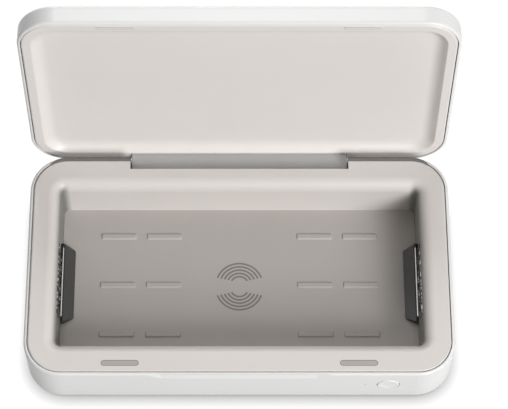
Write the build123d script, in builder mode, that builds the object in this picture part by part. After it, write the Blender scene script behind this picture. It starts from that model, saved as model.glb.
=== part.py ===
"""Sanitizer box for phones: a charging tub with a lamp in each end wall, under a hinged lid.

Millimetres, X along the box, Y from front to back, Z up. The origin is on the table, under the
middle of the base. Lid pieces are drawn with the lid shut and then swung open on the hinge.
"""

import os

from build123d import *

os.makedirs("parts", exist_ok=True)

# ------------------------------------------------------------------ driving dimensions
# Outline that the base and the lid share
box_length = 228.0  # along X
box_depth = 128.0  # along Y
corner_radius = 20.0  # upright corners
shell_wall = 1.6
rim_round = 1.3  # outer edge of both shell rims
liner_gap = 0.4  # dark line between a shell and its liner
liner_round = 1.0  # outer edge of both liners

# Base, from the table up
foot_drop = 1.0  # the foot ring stands this far below the shell
foot_seat = 0.6  # depth of its groove
foot_width = 6.0
foot_inset = 6.5
foot_round = 0.4
bottom_wall = 1.6
bottom_round = 5.0
ferrite_thickness = 0.6
ferrite_side = 60.0
ferrite_corner = 2.0
coil_thickness = 0.8
coil_diameter = 50.0
coil_eye = 21.0
floor_thickness = 1.3
floor_rib_width = 3.0
floor_rib_length = 70.0
floor_rib_inset = 17.3  # from the end of the tub

# Tub that the phone lies in
side_rim = 16.7  # from the side of the box to the tub
front_rim = 18.4  # from the front of the box to the tub, and the same behind
tub_depth = 29.1
tub_corner = 3.0
tub_wall = 1.8
tub_lip_round = 6.5
rim_plate = 2.0
skirt_wall = 1.2
skirt_drop = 4.0  # how far the liner's edge reaches down inside the shell

# Raised rests on the floor
rest_length = 18.8
rest_width = 2.6
rest_height = 0.5
rest_inner_x = 41.5
rest_outer_x = 66.7
rest_row_spacing = 29.2

# Finger scoop in the front edge
scoop_length = 99.0
scoop_drop = 4.8
scoop_depth = 0.9
scoop_taper = 8.5

# Magnet pads in the rim, and what faces them in the lid
pad_spacing = 125.6
pad_length = 20.0
pad_width = 3.2
pad_seat = 0.8
pad_sink = 0.1
pad_from_front = 6.9
magnet_length = 16.0
magnet_width = 4.0
magnet_thickness = 2.4
magnet_forward = 1.0  # the rim magnets sit this far ahead of their pads
bumper_length = 19.5
bumper_width = 2.3
bumper_stand = 0.4  # how far the lid bumpers stand out
bumper_seat = 0.6
bumper_from_front = 4.3

# Lid
lid_gap = 0.6  # between the two rims, shut
lid_height = 12.0
lid_top_wall = 1.6
lid_top_round = 3.0
lid_sheet = 1.5  # thickness of the lid liner
dish_depth = 4.2
dish_strip = 5.0  # flat strip round the dish
dish_slope = 45.0
dish_round = 7.0
dish_edge_round = 0.8
dish_wall = 2.1  # its sloping wall, measured level
peg_diameter = 4.0
peg_height = 4.0
peg_tube_wall = 1.5
peg_inset = 22.0  # from the side and from the front or back of the box

# Hinge: one long block on the lid that turns on two pins in the base
hinge_end_inset = 54.8  # from the side of the box to the block
hinge_barrel = 4.5  # diameter of its round lower edge; its front is flush with that
hinge_setback = 3.5  # axis in front of the back of the box
hinge_inset = 0.5  # its back face stays this far inside the back of the box
hinge_drop = 8.1  # axis below the base rim
hinge_play = 1.5  # in front of the block
hinge_under_play = 0.4  # under the turning block; open, it comes to rest on this edge
hinge_end_play = 0.6
hinge_seat_play = 0.3  # between the block and the lid pieces it passes
hinge_notch_rise = 5.0  # notch in the back wall of the lid
hinge_arm = 2.0  # thickness of the arm inside the lid
hinge_arm_reach = 14.0
hinge_arm_lift = 6.9  # underside of the arm above the lid rim
pocket_wall = 1.5
pocket_end_wall = 2.4
pocket_top_gap = 0.3
pin_diameter = 2.0
pin_clearance = 0.06
pin_grip = 6.0  # length of each pin in the block
pin_end_room = 0.3
lid_open_angle = 95.5

# Power button and what it works
button_from_side = 35.2
button_drop = 14.0  # centre below the rim
button_diameter = 12.0
button_clearance = 0.15
button_proud = 0.25
button_edge_round = 0.2
button_flange = 1.0
button_flange_width = 1.2
button_back_gap = 0.05
button_stem = 5.0
button_travel = 0.6
switch_side = 6.0
switch_depth = 3.5
switch_stroke_room = 0.2
plunger_diameter = 3.4
plunger_length = 2.0
plunger_clearance = 0.08
plunger_sunk = 1.0
light_from_button = 12.1
light_diameter = 1.8
led_side = 1.6
led_height = 0.8

# Circuit boards
board_thickness = 1.6
main_board_left_reach = 36.8  # its ends, from the axis of the button
main_board_right_reach = 15.2
main_board_bottom = 8.0
main_board_top = 29.0
main_board_setback = 8.6  # its front face behind the front of the box
rail_width = 3.5
rail_depth = 4.8
rail_overlap = 1.5
rail_top = 22.0
chip_side = 7.0
chip_height = 1.2
chip_from_button = 22.8  # to the left
choke_diameter = 8.0
choke_height = 3.2
choke_from_button = 5.2  # to the right
inlet_from_side = 29.0
inlet_board_length = 20.0
driver_from_side = 32.0
driver_board_length = 28.0
back_board_depth = 12.4
back_board_z = 9.8
back_board_gap = 0.4  # to the inside of the back wall
back_rib_width = 2.0
back_rib_spread = 12.0
transformer_length = 11.0
transformer_side = 9.0
transformer_height = 8.5
transformer_shift = -5.6  # from the middle of the board
capacitor_diameter = 5.0
capacitor_height = 8.0
capacitor_shift = 8.0
usb_width = 8.94
usb_height = 3.26
usb_depth = 7.3
usb_wall = 0.3
usb_socket_room = 6.2
usb_tongue_width = 6.7
usb_tongue_height = 0.7
usb_tongue_length = 4.5
usb_play = 0.3
usb_inset = 0.2
sensor_from_button = 9.7  # to the right
sensor_width = 4.0
sensor_height = 3.0
sensor_depth = 1.5
sensor_z = 25.0
sensor_magnet_diameter = 3.6
sensor_magnet_height = 2.0

# Lamp units in the two end walls
tray_reach = 7.0  # how far the tray stands into the tub
tray_back_half = 23.6
tray_front_half = 20.0
tray_back_rise = 3.5
tray_front_rise = 0.9
tray_ledge = 1.4  # flat part along the wall
tray_corner = 1.6
tongue_thickness = 0.8  # part of the tray that lies in the window
tongue_play = 0.1
lug_width = 1.2
lug_depth = 1.8
lug_height = 1.8
window_top = 16.0  # above the floor
window_top_half = 17.5
window_corner = 1.2
guard_diameter = 1.0
guard_inset = 0.3  # guard axis inside the face of the wall
guard_rise = 0.9  # above the back edge of the tray
guard_half = 21.8
lamp_diameter = 4.0
lamp_setback = 4.2  # lamp axis behind the face of the wall
lamp_rise = 9.5  # lamp axis above the floor
lamp_half = 22.0  # lit length, each way
lamp_end_round = 1.6
reflector_sheet = 0.5
reflector_radius = 6.0
socket_length = 4.0
socket_end_wall = 0.8
housing_wall = 1.2
housing_depth = 10.4

# Screws that close the base from below, and the hinge screws
base_screw_inset = 12.6
boss_diameter = 8.0
boss_top = 9.0
post_diameter = 6.4
screw_diameter = 2.5
screw_play = 0.1
screw_head = 5.0
screw_head_height = 1.8
screw_head_play = 0.2
screw_seat = 4.2
screw_reach = 16.0
hinge_screw_inner_x = 16.0
hinge_screw_end_inset = 14.2  # of the outer ones, from the ends of the block
hinge_screw_diameter = 2.0
hinge_screw_play = 0.1
hinge_screw_head = 4.0
hinge_screw_head_height = 1.0
hinge_screw_bite = 2.2
hinge_boss_diameter = 5.4

# ------------------------------------------------------------------ heights and places
half_length = box_length / 2
half_depth = box_depth / 2
tub_length = box_length - 2 * side_rim
tub_width = box_depth - 2 * front_rim
shell_floor_z = foot_drop + bottom_wall
coil_z = shell_floor_z + ferrite_thickness
panel_z = coil_z + coil_thickness
floor_z = panel_z + floor_thickness
rim_z = floor_z + tub_depth
plate_z = rim_z - rim_plate
skirt_z = rim_z - skirt_drop
lid_z = rim_z + lid_gap
ceiling_z = lid_z + lid_height - lid_top_wall
pan_z = lid_z + dish_depth + lid_sheet
liner_inset = shell_wall + liner_gap
wall_face = tub_length / 2
wall_back = wall_face + tub_wall
floor_rib_x = wall_face - floor_rib_inset
rest_columns = (-rest_outer_x, -rest_inner_x, rest_inner_x, rest_outer_x)
pad_x = pad_spacing / 2
pad_y = -half_depth + pad_from_front
bumper_y = -half_depth + bumper_from_front
peg_x = half_length - peg_inset
peg_y = half_depth - peg_inset

hinge_length = box_length - 2 * hinge_end_inset
hinge_y = half_depth - hinge_setback
hinge_z = rim_z - hinge_drop
hinge_axis = Axis((0, hinge_y, hinge_z), (1, 0, 0))
hinge_front = hinge_y - hinge_barrel / 2
hinge_back = half_depth - hinge_inset
notch_front = hinge_front - hinge_play
notch_half = hinge_length / 2 + hinge_end_play
notch_bottom = hinge_z - (hinge_back - hinge_y) - hinge_under_play
arm_z = lid_z + hinge_arm_lift
arm_top = arm_z + hinge_arm
arm_y = hinge_front - hinge_arm_reach
hinge_screw_y = (arm_y + hinge_front) / 2
hinge_screw_outer_x = hinge_length / 2 - hinge_screw_end_inset
hinge_screw_columns = (
    -hinge_screw_outer_x,
    -hinge_screw_inner_x,
    hinge_screw_inner_x,
    hinge_screw_outer_x,
)

board_face = -half_depth + main_board_setback
board_back = board_face + board_thickness
button_x = half_length - button_from_side
button_z = rim_z - button_drop
light_x = button_x - light_from_button
main_board_ends = (button_x - main_board_left_reach, button_x + main_board_right_reach)
chip_x = button_x - chip_from_button
choke_x = button_x + choke_from_button
sensor_x = button_x + sensor_from_button
inlet_x = half_length - inlet_from_side
driver_x = -half_length + driver_from_side
back_board_y = half_depth - shell_wall - back_board_gap - back_board_depth / 2
board_top_z = back_board_z + board_thickness
usb_z = board_top_z + usb_height / 2
boss_x = half_length - base_screw_inset
boss_y = half_depth - base_screw_inset
lamp_z = floor_z + lamp_rise
tray_z = floor_z + tray_back_rise

FROM_MIDDLE = (Align.CENTER, Align.MIN)  # centred in X, starting at the given Y


def outline(inset, mode=Mode.ADD):
    """The plan of the box, drawn in by an inset."""
    RectangleRounded(
        box_length - 2 * inset, box_depth - 2 * inset, corner_radius - inset, mode=mode
    )


def tub_outline(spread, mode=Mode.ADD):
    """The plan of the tub, drawn out by a wall."""
    RectangleRounded(
        tub_length + 2 * spread, tub_width + 2 * spread, tub_corner + spread, mode=mode
    )


def swing_open(piece, name):
    """Turn a piece drawn with the lid shut to where the open lid holds it, and name it."""
    opened = piece.rotate(hinge_axis, -lid_open_angle)
    opened.label = name
    return opened


# ------------------------------------------------------------------ base shell
# White moulded tray: outer walls, hinge pocket, screw bosses, board rails and ribs.
with BuildPart() as base_shell:
    with BuildSketch(Plane.XY.offset(foot_drop)):
        outline(0)
    extrude(amount=rim_z - foot_drop)
    fillet(base_shell.faces().sort_by(Axis.Z)[0].edges(), bottom_round)
    with BuildSketch(Plane.XY.offset(shell_floor_z)):
        outline(shell_wall)
    extrude(amount=rim_z - shell_floor_z, mode=Mode.SUBTRACT)
    inner_floor = base_shell.faces().filter_by(Axis.Z).sort_by(Axis.Z)[1]
    fillet(inner_floor.edges(), bottom_round - shell_wall)
    fillet(base_shell.faces().sort_by(Axis.Z)[-1].outer_wire().edges(), rim_round)

    # groove for the foot ring
    with BuildSketch(Plane.XY.offset(foot_drop)):
        outline(foot_inset)
        outline(foot_inset + foot_width, mode=Mode.SUBTRACT)
    extrude(amount=foot_seat, mode=Mode.SUBTRACT)

    # finger scoop: a wide mouth on the front face, drawn in to a flat behind it
    with BuildSketch(Plane.XZ.offset(half_depth)):
        Polygon(
            (-scoop_length / 2, rim_z),
            (scoop_length / 2, rim_z),
            (scoop_length / 2 - scoop_taper, rim_z - scoop_drop),
            (-scoop_length / 2 + scoop_taper, rim_z - scoop_drop),
            align=None,
        )
    with BuildSketch(Plane.XZ.offset(half_depth - scoop_depth)):
        Polygon(
            (-scoop_length / 2 + scoop_taper / 2, rim_z),
            (scoop_length / 2 - scoop_taper / 2, rim_z),
            (scoop_length / 2 - scoop_taper, rim_z - scoop_drop / 2),
            (-scoop_length / 2 + scoop_taper, rim_z - scoop_drop / 2),
            align=None,
        )
    loft(ruled=True, mode=Mode.SUBTRACT)

    # hinge pocket, open to the back, with a bore for a pin in each end wall
    with BuildSketch(Plane.XY.offset(notch_bottom - pocket_wall)):
        with Locations((0, notch_front - pocket_wall)):
            Rectangle(
                2 * (notch_half + pocket_end_wall),
                half_depth - shell_wall - notch_front + pocket_wall,
                align=FROM_MIDDLE,
            )
    extrude(amount=skirt_z - pocket_top_gap - notch_bottom + pocket_wall)
    with BuildSketch(Plane.XY.offset(notch_bottom)):
        with Locations((0, notch_front)):
            Rectangle(2 * notch_half, half_depth - notch_front, align=FROM_MIDDLE)
    extrude(amount=rim_z - notch_bottom, mode=Mode.SUBTRACT)
    with BuildSketch(Plane.YZ):
        with Locations((hinge_y, hinge_z)):
            Circle(pin_diameter / 2)
    extrude(amount=notch_half + pocket_end_wall, both=True, mode=Mode.SUBTRACT)

    # holes for the button and its light in front, and for the charging plug behind
    with BuildSketch(Plane.XZ.offset(half_depth)):
        with Locations((button_x, button_z)):
            Circle(button_diameter / 2 + button_clearance)
        with Locations((light_x, button_z)):
            Circle(light_diameter / 2)
    extrude(amount=-shell_wall, mode=Mode.SUBTRACT)
    with BuildSketch(Plane.XZ.offset(-half_depth)):
        with Locations((inlet_x, usb_z)):
            SlotOverall(usb_width + 2 * usb_play, usb_height + 2 * usb_play)
    extrude(amount=shell_wall, mode=Mode.SUBTRACT)

    # screw bosses, counterbored from the groove of the foot ring
    with BuildSketch(Plane.XY.offset(shell_floor_z)):
        with GridLocations(2 * boss_x, 2 * boss_y, 2, 2):
            Circle(boss_diameter / 2)
    extrude(amount=boss_top - shell_floor_z)
    with BuildSketch(Plane.XY.offset(foot_drop)):
        with GridLocations(2 * boss_x, 2 * boss_y, 2, 2):
            Circle(screw_head / 2 + screw_head_play)
    extrude(amount=screw_seat - foot_drop, mode=Mode.SUBTRACT)
    with BuildSketch(Plane.XY.offset(screw_seat)):
        with GridLocations(2 * boss_x, 2 * boss_y, 2, 2):
            Circle(screw_diameter / 2 + screw_play)
    extrude(amount=boss_top - screw_seat, mode=Mode.SUBTRACT)

    # low ribs under the charging floor, taller ones under the boards at the back
    with BuildSketch(Plane.XY.offset(shell_floor_z)):
        with GridLocations(2 * floor_rib_x, 0, 2, 1):
            Rectangle(floor_rib_width, floor_rib_length)
    extrude(amount=panel_z - shell_floor_z)
    with BuildSketch(Plane.XY.offset(shell_floor_z)):
        for board_x in (inlet_x, driver_x):
            with Locations((board_x, back_board_y)):
                with GridLocations(back_rib_spread, 0, 2, 1):
                    Rectangle(back_rib_width, back_board_depth)
    extrude(amount=back_board_z - shell_floor_z)

    # slotted rails that hold the main board upright
    rail_centres = (
        main_board_ends[0] + rail_overlap - rail_width / 2,
        main_board_ends[1] - rail_overlap + rail_width / 2,
    )
    with BuildSketch(Plane.XY.offset(shell_floor_z)):
        for rail_x in rail_centres:
            with Locations((rail_x, (board_face + board_back) / 2)):
                Rectangle(rail_width, rail_depth)
    extrude(amount=rail_top - shell_floor_z)
    with BuildSketch(Plane.XY.offset(main_board_bottom)):
        with Locations((main_board_ends[0], board_face)):
            Rectangle(
                main_board_ends[1] - main_board_ends[0],
                board_thickness,
                align=(Align.MIN, Align.MIN),
            )
    extrude(amount=rail_top - main_board_bottom, mode=Mode.SUBTRACT)

base_shell.part.label = "base_shell"
export_step(base_shell.part, "parts/base_shell.step")

# ------------------------------------------------------------------ foot ring
with BuildPart() as foot_ring:
    with BuildSketch():
        outline(foot_inset)
        outline(foot_inset + foot_width, mode=Mode.SUBTRACT)
    extrude(amount=foot_drop + foot_seat)
    fillet(foot_ring.faces().sort_by(Axis.Z)[0].edges(), foot_round)

foot_ring.part.label = "foot_ring"
export_step(foot_ring.part, "parts/foot_ring.step")

# ------------------------------------------------------------------ base screws
with BuildPart() as base_screws:
    with BuildSketch(Plane.XY.offset(screw_seat)):
        with GridLocations(2 * boss_x, 2 * boss_y, 2, 2):
            Circle(screw_head / 2)
    extrude(amount=-screw_head_height)
    with BuildSketch(Plane.XY.offset(screw_seat)):
        with GridLocations(2 * boss_x, 2 * boss_y, 2, 2):
            Circle(screw_diameter / 2)
    extrude(amount=screw_reach - screw_seat)

base_screws.part.label = "base_screws"
export_step(base_screws.part, "parts/base_screws.step")

# ------------------------------------------------------------------ charging floor and coil
with BuildPart() as ferrite_sheet:
    with BuildSketch(Plane.XY.offset(shell_floor_z)):
        RectangleRounded(ferrite_side, ferrite_side, ferrite_corner)
    extrude(amount=ferrite_thickness)

ferrite_sheet.part.label = "ferrite_sheet"
export_step(ferrite_sheet.part, "parts/ferrite_sheet.step")

with BuildPart() as charging_coil:
    with BuildSketch(Plane.XY.offset(coil_z)):
        Circle(coil_diameter / 2)
        Circle(coil_eye / 2, mode=Mode.SUBTRACT)
    extrude(amount=coil_thickness)

charging_coil.part.label = "charging_coil"
export_step(charging_coil.part, "parts/charging_coil.step")

with BuildPart() as charging_floor:
    with BuildSketch(Plane.XY.offset(panel_z)):
        tub_outline(tub_wall)
    extrude(amount=floor_thickness)
    with BuildSketch(Plane.XY.offset(floor_z)):
        for rest_x in rest_columns:
            with Locations((rest_x, 0)):
                with GridLocations(0, rest_row_spacing, 1, 3):
                    SlotOverall(rest_length, rest_width)
    extrude(amount=rest_height)

charging_floor.part.label = "charging_floor"
export_step(charging_floor.part, "parts/charging_floor.step")

# ------------------------------------------------------------------ base liner
# Warm grey moulding: the flat rim, the rounded lip and the tub walls. A skirt hangs from its
# edge just inside the shell and goes round the notch for the hinge.
with BuildSketch() as inside_skirt:
    outline(liner_inset)
    with Locations((0, notch_front)):
        Rectangle(2 * notch_half, half_depth, align=FROM_MIDDLE, mode=Mode.SUBTRACT)
    offset(amount=-skirt_wall, kind=Kind.INTERSECTION)

with BuildPart() as wall_space:
    with BuildSketch(Plane.XY.offset(floor_z)):
        add(inside_skirt.sketch)
        tub_outline(tub_wall, mode=Mode.SUBTRACT)
    extrude(amount=plate_z - floor_z)
    space_top = wall_space.faces().sort_by(Axis.Z)[-1]
    fillet(space_top.inner_wires()[0].edges(), tub_lip_round - tub_wall)

with BuildPart() as base_liner:
    with BuildSketch(Plane.XY.offset(floor_z)):
        outline(liner_inset)
        tub_outline(0, mode=Mode.SUBTRACT)
    extrude(amount=tub_depth)
    rim_face = base_liner.faces().sort_by(Axis.Z)[-1]
    fillet(rim_face.inner_wires()[0].edges(), tub_lip_round)
    rim_face = base_liner.faces().sort_by(Axis.Z)[-1]
    fillet(rim_face.outer_wire().edges(), liner_round)
    add(wall_space.part, mode=Mode.SUBTRACT)
    with BuildSketch(Plane.XY.offset(floor_z)):
        outline(0)
        add(inside_skirt.sketch, mode=Mode.SUBTRACT)
    extrude(amount=skirt_z - floor_z, mode=Mode.SUBTRACT)
    with BuildSketch(Plane.XY.offset(skirt_z)):
        with Locations((0, notch_front)):
            Rectangle(2 * notch_half, half_depth, align=FROM_MIDDLE)
    extrude(amount=skirt_drop, mode=Mode.SUBTRACT)

    # posts that take the base screws
    with BuildSketch(Plane.XY.offset(boss_top)):
        with GridLocations(2 * boss_x, 2 * boss_y, 2, 2):
            Circle(post_diameter / 2)
            Circle(screw_diameter / 2, mode=Mode.SUBTRACT)
    extrude(amount=screw_reach - boss_top)
    with BuildSketch(Plane.XY.offset(screw_reach)):
        with GridLocations(2 * boss_x, 2 * boss_y, 2, 2):
            Circle(post_diameter / 2)
    extrude(amount=plate_z - screw_reach)

    # seats for the magnet pads
    with BuildSketch(Plane.XY.offset(rim_z)):
        with Locations((-pad_x, pad_y), (pad_x, pad_y)):
            SlotOverall(pad_length, pad_width)
    extrude(amount=-pad_seat, mode=Mode.SUBTRACT)

    # lamp windows in the two end walls, narrower at the top
    for side in (-1, 1):
        with BuildSketch(Plane.YZ.offset(side * wall_face)) as lamp_window:
            Polygon(
                (-tray_back_half, tray_z - tongue_thickness),
                (tray_back_half, tray_z - tongue_thickness),
                (tray_back_half, tray_z),
                (window_top_half, floor_z + window_top),
                (-window_top_half, floor_z + window_top),
                (-tray_back_half, tray_z),
                align=None,
            )
            fillet(lamp_window.vertices().group_by(Axis.Y)[-1], window_corner)
        extrude(amount=side * tub_wall, mode=Mode.SUBTRACT)

base_liner.part.label = "base_liner"
export_step(base_liner.part, "parts/base_liner.step")

# ------------------------------------------------------------------ magnet pads and magnets
with BuildPart() as rim_pads:
    with BuildSketch(Plane.XY.offset(rim_z - pad_seat)):
        with Locations((-pad_x, pad_y), (pad_x, pad_y)):
            SlotOverall(pad_length, pad_width)
    extrude(amount=pad_seat - pad_sink)

rim_pads.part.label = "rim_pads"
export_step(rim_pads.part, "parts/rim_pads.step")

with BuildPart() as rim_magnets:
    with BuildSketch(Plane.XY.offset(plate_z)):
        with Locations((-pad_x, pad_y - magnet_forward), (pad_x, pad_y - magnet_forward)):
            Rectangle(magnet_length, magnet_width)
    extrude(amount=-magnet_thickness)

rim_magnets.part.label = "rim_magnets"
export_step(rim_magnets.part, "parts/rim_magnets.step")

# ------------------------------------------------------------------ lamp units
# In each end wall: a dark tray on the floor, a guard rod on it, and behind the window a tube
# lamp in two sockets, in front of a trough reflector, all held by a housing.
socket_half = lamp_half + socket_length
inner_half_height = reflector_radius + reflector_sheet
lug_y = guard_half - lug_width / 2

for side, end in ((-1, "left"), (1, "right")):
    face_x = side * wall_face
    back_x = side * wall_back
    front_x = side * (wall_face - tray_reach)
    lamp_x = side * (wall_face + lamp_setback)
    ledge_x = side * (wall_face - tray_ledge)
    guard_x = side * (wall_face - guard_inset)
    window_plane = Plane.YZ.offset(back_x)

    with BuildPart() as lamp_tray:
        with BuildSketch(Plane.XY.offset(floor_z)) as tray_plan:
            Polygon(
                (face_x, -tray_back_half),
                (face_x, tray_back_half),
                (front_x, tray_front_half),
                (front_x, -tray_front_half),
                align=None,
            )
            fillet(tray_plan.vertices().sort_by_distance((0, 0))[:2], tray_corner)
        extrude(amount=tray_back_rise)
        with BuildSketch(Plane.XZ):
            Polygon(
                (ledge_x, tray_z),
                (front_x, floor_z + tray_front_rise),
                (front_x, tray_z),
                align=None,
            )
        extrude(amount=tray_back_half, both=True, mode=Mode.SUBTRACT)
        with BuildSketch(Plane.XY.offset(tray_z)):
            with Locations(((face_x + back_x) / 2, 0)):
                Rectangle(tub_wall, 2 * (tray_back_half - tongue_play))
        extrude(amount=-tongue_thickness)
        with BuildSketch(Plane.XY.offset(tray_z)):
            with Locations((guard_x, 0)):
                with GridLocations(0, 2 * lug_y, 1, 2):
                    Rectangle(lug_depth, lug_width)
        extrude(amount=lug_height)
        with BuildSketch(Plane.XZ):
            with Locations((guard_x, tray_z + guard_rise)):
                Circle(guard_diameter / 2)
        extrude(amount=guard_half, both=True, mode=Mode.SUBTRACT)

    lamp_tray.part.label = f"lamp_tray_{end}"
    export_step(lamp_tray.part, f"parts/lamp_tray_{end}.step")

    with BuildPart() as lamp_guard:
        with BuildSketch(Plane.XZ):
            with Locations((guard_x, tray_z + guard_rise)):
                Circle(guard_diameter / 2)
        extrude(amount=guard_half, both=True)

    lamp_guard.part.label = f"lamp_guard_{end}"
    export_step(lamp_guard.part, f"parts/lamp_guard_{end}.step")

    with BuildPart() as lamp_tube:
        with BuildSketch(Plane.XZ):
            with Locations((lamp_x, lamp_z)):
                Circle(lamp_diameter / 2)
        extrude(amount=socket_half - socket_end_wall, both=True)
        fillet(lamp_tube.edges().filter_by(GeomType.CIRCLE), lamp_end_round)

    lamp_tube.part.label = f"lamp_tube_{end}"
    export_step(lamp_tube.part, f"parts/lamp_tube_{end}.step")

    with BuildPart() as lamp_reflector:
        with BuildSketch(Plane.XZ):
            with Locations((lamp_x, lamp_z)):
                Circle(inner_half_height)
                Circle(reflector_radius, mode=Mode.SUBTRACT)
            with Locations(((lamp_x + back_x) / 2 - side * inner_half_height, lamp_z)):
                Rectangle(
                    abs(lamp_x - back_x) + 2 * inner_half_height,
                    2 * inner_half_height,
                    mode=Mode.SUBTRACT,
                )
            with Locations(((lamp_x + back_x) / 2, lamp_z)):
                with GridLocations(0, 2 * reflector_radius + reflector_sheet, 1, 2):
                    Rectangle(abs(lamp_x - back_x), reflector_sheet)
        extrude(amount=lamp_half, both=True)

    lamp_reflector.part.label = f"lamp_reflector_{end}"
    export_step(lamp_reflector.part, f"parts/lamp_reflector_{end}.step")

    with BuildPart() as lamp_sockets:
        with BuildSketch(window_plane):
            with Locations((0, lamp_z)):
                with GridLocations(2 * lamp_half + socket_length, 0, 2, 1):
                    Rectangle(socket_length, 2 * inner_half_height)
        extrude(amount=side * (housing_depth - housing_wall))
        with BuildSketch(Plane.XZ):
            with Locations((lamp_x, lamp_z)):
                Circle(lamp_diameter / 2)
        extrude(amount=socket_half - socket_end_wall, both=True, mode=Mode.SUBTRACT)

    lamp_sockets.part.label = f"lamp_sockets_{end}"
    export_step(lamp_sockets.part, f"parts/lamp_sockets_{end}.step")

    with BuildPart() as lamp_housing:
        with BuildSketch(window_plane):
            with Locations((0, lamp_z)):
                Rectangle(
                    2 * (socket_half + housing_wall),
                    2 * (inner_half_height + housing_wall),
                )
        extrude(amount=side * housing_depth)
        with BuildSketch(window_plane):
            with Locations((0, lamp_z)):
                Rectangle(2 * socket_half, 2 * inner_half_height)
        extrude(amount=side * (housing_depth - housing_wall), mode=Mode.SUBTRACT)

    lamp_housing.part.label = f"lamp_housing_{end}"
    export_step(lamp_housing.part, f"parts/lamp_housing_{end}.step")

# ------------------------------------------------------------------ main board and its parts
with BuildPart() as main_board:
    with BuildSketch(Plane.XZ.offset(-board_face)):
        with Locations((main_board_ends[0], main_board_bottom)):
            Rectangle(
                main_board_ends[1] - main_board_ends[0],
                main_board_top - main_board_bottom,
                align=(Align.MIN, Align.MIN),
            )
    extrude(amount=-board_thickness)
    with BuildSketch(Plane.XZ.offset(-board_back)):
        with Locations((chip_x, button_z)):
            Rectangle(chip_side, chip_side)
    extrude(amount=-chip_height)
    with BuildSketch(Plane.XZ.offset(-board_back)):
        with Locations((choke_x, button_z)):
            Circle(choke_diameter / 2)
    extrude(amount=-choke_height)

main_board.part.label = "main_board"
export_step(main_board.part, "parts/main_board.step")

switch_face = board_face - switch_depth
plunger_end = switch_face + plunger_sunk

with BuildPart() as power_switch:
    with BuildSketch(Plane.XZ.offset(-board_face)):
        with Locations((button_x, button_z)):
            Rectangle(switch_side, switch_side)
    extrude(amount=switch_depth)
    with BuildSketch(Plane.XZ.offset(-switch_face)):
        with Locations((button_x, button_z)):
            Circle(plunger_diameter / 2 + plunger_clearance)
    extrude(amount=-(plunger_sunk + button_travel + switch_stroke_room), mode=Mode.SUBTRACT)

power_switch.part.label = "power_switch"
export_step(power_switch.part, "parts/power_switch.step")

# The button stands a little proud; its flange keeps it behind the wall, and its stem bears on
# the plunger of the switch.
flange_front = -half_depth + shell_wall + button_back_gap
stem_end = plunger_end - plunger_length

with BuildPart() as power_button:
    with BuildSketch(Plane.XZ.offset(half_depth + button_proud)):
        with Locations((button_x, button_z)):
            Circle(button_diameter / 2)
    extrude(amount=-(button_proud + half_depth + flange_front))
    fillet(power_button.faces().sort_by(Axis.Y)[0].edges(), button_edge_round)
    with BuildSketch(Plane.XZ.offset(-flange_front)):
        with Locations((button_x, button_z)):
            Circle(button_diameter / 2 + button_flange_width)
    extrude(amount=-button_flange)
    with BuildSketch(Plane.XZ.offset(-flange_front)):
        with Locations((button_x, button_z)):
            Circle(button_stem / 2)
    extrude(amount=-(stem_end - flange_front))

power_button.part.label = "power_button"
export_step(power_button.part, "parts/power_button.step")

with BuildPart() as switch_plunger:
    with BuildSketch(Plane.XZ.offset(-stem_end)):
        with Locations((button_x, button_z)):
            Circle(plunger_diameter / 2)
    extrude(amount=-(plunger_end - stem_end))

switch_plunger.part.label = "switch_plunger"
export_step(switch_plunger.part, "parts/switch_plunger.step")

with BuildPart() as status_led:
    with BuildSketch(Plane.XZ.offset(-board_face)):
        with Locations((light_x, button_z)):
            Rectangle(led_side, led_side)
    extrude(amount=led_height)

status_led.part.label = "status_led"
export_step(status_led.part, "parts/status_led.step")

with BuildPart() as status_light_pipe:
    with BuildSketch(Plane.XZ.offset(half_depth)):
        with Locations((light_x, button_z)):
            Circle(light_diameter / 2)
    extrude(amount=-(main_board_setback - led_height))

status_light_pipe.part.label = "status_light_pipe"
export_step(status_light_pipe.part, "parts/status_light_pipe.step")

with BuildPart() as lid_sensor:
    with BuildSketch(Plane.XZ.offset(-board_face)):
        with Locations((sensor_x, sensor_z)):
            Rectangle(sensor_width, sensor_height)
    extrude(amount=sensor_depth)

lid_sensor.part.label = "lid_sensor"
export_step(lid_sensor.part, "parts/lid_sensor.step")

# ------------------------------------------------------------------ boards at the back
with BuildPart() as inlet_board:
    with BuildSketch(Plane.XY.offset(back_board_z)):
        with Locations((inlet_x, back_board_y)):
            Rectangle(inlet_board_length, back_board_depth)
    extrude(amount=board_thickness)

inlet_board.part.label = "inlet_board"
export_step(inlet_board.part, "parts/inlet_board.step")

socket_mouth = half_depth - usb_inset

with BuildPart() as usb_c_socket:
    with BuildSketch(Plane.XZ.offset(-socket_mouth)):
        with Locations((inlet_x, usb_z)):
            SlotOverall(usb_width, usb_height)
    extrude(amount=usb_depth)
    with BuildSketch(Plane.XZ.offset(-socket_mouth)):
        with Locations((inlet_x, usb_z)):
            SlotOverall(usb_width - 2 * usb_wall, usb_height - 2 * usb_wall)
    extrude(amount=usb_socket_room, mode=Mode.SUBTRACT)
    with BuildSketch(Plane.XZ.offset(-socket_mouth + usb_socket_room)):
        with Locations((inlet_x, usb_z)):
            Rectangle(usb_tongue_width, usb_tongue_height)
    extrude(amount=-usb_tongue_length)

usb_c_socket.part.label = "usb_c_socket"
export_step(usb_c_socket.part, "parts/usb_c_socket.step")

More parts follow.
